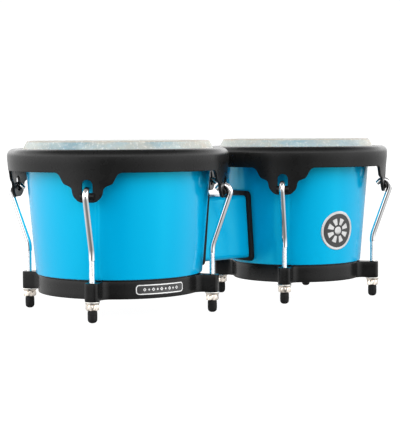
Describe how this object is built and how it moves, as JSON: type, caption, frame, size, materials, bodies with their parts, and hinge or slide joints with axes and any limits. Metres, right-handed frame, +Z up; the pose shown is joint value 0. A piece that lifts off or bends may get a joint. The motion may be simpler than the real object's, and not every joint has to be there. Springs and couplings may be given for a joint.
{
  "type": "bongo drums",
  "caption": "Pair of hand drums of two sizes joined by a centre block, with rawhide heads, tuning hooks and open bottoms.",
  "frame": {"origin": "on the floor under the middle of the overall bounding box", "axes": "+X from the large drum to the small drum, +Y to the back, the badge faces -Y, +Z up"},
  "size_m": [0.443, 0.227, 0.1753],
  "materials": {
    "blue_shell": "gloss",
    "rawhide": "matt",
    "black_steel": "satin powder coat",
    "black_cast": "satin powder coat",
    "chrome": "polished",
    "nickel": "nickel plate",
    "zinc_steel": "zinc plate",
    "rubber": "matt",
    "badge_print": "printed",
    "label_print": "printed"
  },
  "bodies": {
    "drum_pair": {"shell_large": "blue_shell", "head_skin_large": "rawhide", "bottom_ring_large": "black_cast", "lug_washers_large": "zinc_steel", "gasket_large": "rubber", "backing_plate_large": "black_cast", "shell_small": "blue_shell", "head_skin_small": "rawhide", "bottom_ring_small": "black_cast", "lug_washers_small": "zinc_steel", "gasket_small": "rubber", "backing_plate_small": "black_cast", "center_block": "blue_shell", "clamp_bolts": "zinc_steel", "clamp_washers": "zinc_steel", "clamp_nuts": "zinc_steel", "shell_badge": "badge_print", "ring_label": "label_print"},
    "rim_assembly_large": {"rim_large": "black_steel", "flesh_hoop_large": "zinc_steel", "tuning_hook_large_front_left": "chrome", "tuning_hook_large_front_right": "chrome", "tuning_hook_large_back_right": "chrome", "tuning_hook_large_back_left": "chrome", "foot_cap_large_front_left": "rubber", "foot_cap_large_front_right": "rubber", "foot_cap_large_back_right": "rubber", "foot_cap_large_back_left": "rubber"},
    "nut_large_front_left": {"tuning_nut_large_front_left": "nickel"},
    "nut_large_front_right": {"tuning_nut_large_front_right": "nickel"},
    "nut_large_back_right": {"tuning_nut_large_back_right": "nickel"},
    "nut_large_back_left": {"tuning_nut_large_back_left": "nickel"},
    "rim_assembly_small": {"rim_small": "black_steel", "flesh_hoop_small": "zinc_steel", "tuning_hook_small_front_left": "chrome", "tuning_hook_small_front_right": "chrome", "tuning_hook_small_back_right": "chrome", "tuning_hook_small_back_left": "chrome", "foot_cap_small_front_left": "rubber", "foot_cap_small_front_right": "rubber", "foot_cap_small_back_right": "rubber", "foot_cap_small_back_left": "rubber"},
    "nut_small_front_left": {"tuning_nut_small_front_left": "nickel"},
    "nut_small_front_right": {"tuning_nut_small_front_right": "nickel"},
    "nut_small_back_right": {"tuning_nut_small_back_right": "nickel"},
    "nut_small_back_left": {"tuning_nut_small_back_left": "nickel"}
  },
  "joints": [
    {"name": "rim_travel_large", "type": "slide", "parent": "drum_pair", "child": "rim_assembly_large", "axis": [0, 0, -1], "range_m": [0, 0.004]},
    {"name": "nut_turn_large_front_left", "type": "hinge", "parent": "drum_pair", "child": "nut_large_front_left", "pos_m": [-0.1773, -0.0693, 0.016], "axis": [0, 0, 1], "range_deg": [0, 1440]},
    {"name": "nut_turn_large_front_right", "type": "hinge", "parent": "drum_pair", "child": "nut_large_front_right", "pos_m": [-0.0387, -0.0693, 0.016], "axis": [0, 0, 1], "range_deg": [0, 1440]},
    {"name": "nut_turn_large_back_right", "type": "hinge", "parent": "drum_pair", "child": "nut_large_back_right", "pos_m": [-0.0387, 0.0693, 0.016], "axis": [0, 0, 1], "range_deg": [0, 1440]},
    {"name": "nut_turn_large_back_left", "type": "hinge", "parent": "drum_pair", "child": "nut_large_back_left", "pos_m": [-0.1773, 0.0693, 0.016], "axis": [0, 0, 1], "range_deg": [0, 1440]},
    {"name": "rim_travel_small", "type": "slide", "parent": "drum_pair", "child": "rim_assembly_small", "axis": [0, 0, -1], "range_m": [0, 0.004]},
    {"name": "nut_turn_small_front_left", "type": "hinge", "parent": "drum_pair", "child": "nut_small_front_left", "pos_m": [0.05915, -0.06085, 0.016], "axis": [0, 0, 1], "range_deg": [0, 1440]},
    {"name": "nut_turn_small_front_right", "type": "hinge", "parent": "drum_pair", "child": "nut_small_front_right", "pos_m": [0.18085, -0.06085, 0.016], "axis": [0, 0, 1], "range_deg": [0, 1440]},
    {"name": "nut_turn_small_back_right", "type": "hinge", "parent": "drum_pair", "child": "nut_small_back_right", "pos_m": [0.18085, 0.06085, 0.016], "axis": [0, 0, 1], "range_deg": [0, 1440]},
    {"name": "nut_turn_small_back_left", "type": "hinge", "parent": "drum_pair", "child": "nut_small_back_left", "pos_m": [0.05915, 0.06085, 0.016], "axis": [0, 0, 1], "range_deg": [0, 1440]}
  ],
  "couplings": [
    {"joint": "nut_turn_large_front_left", "follows": "rim_travel_large", "rad_per_m": 6283.2},
    {"joint": "nut_turn_large_front_right", "follows": "rim_travel_large", "rad_per_m": 6283.2},
    {"joint": "nut_turn_large_back_right", "follows": "rim_travel_large", "rad_per_m": 6283.2},
    {"joint": "nut_turn_large_back_left", "follows": "rim_travel_large", "rad_per_m": 6283.2},
    {"joint": "nut_turn_small_front_left", "follows": "rim_travel_small", "rad_per_m": 6283.2},
    {"joint": "nut_turn_small_front_right", "follows": "rim_travel_small", "rad_per_m": 6283.2},
    {"joint": "nut_turn_small_back_right", "follows": "rim_travel_small", "rad_per_m": 6283.2},
    {"joint": "nut_turn_small_back_left", "follows": "rim_travel_small", "rad_per_m": 6283.2}
  ]
}
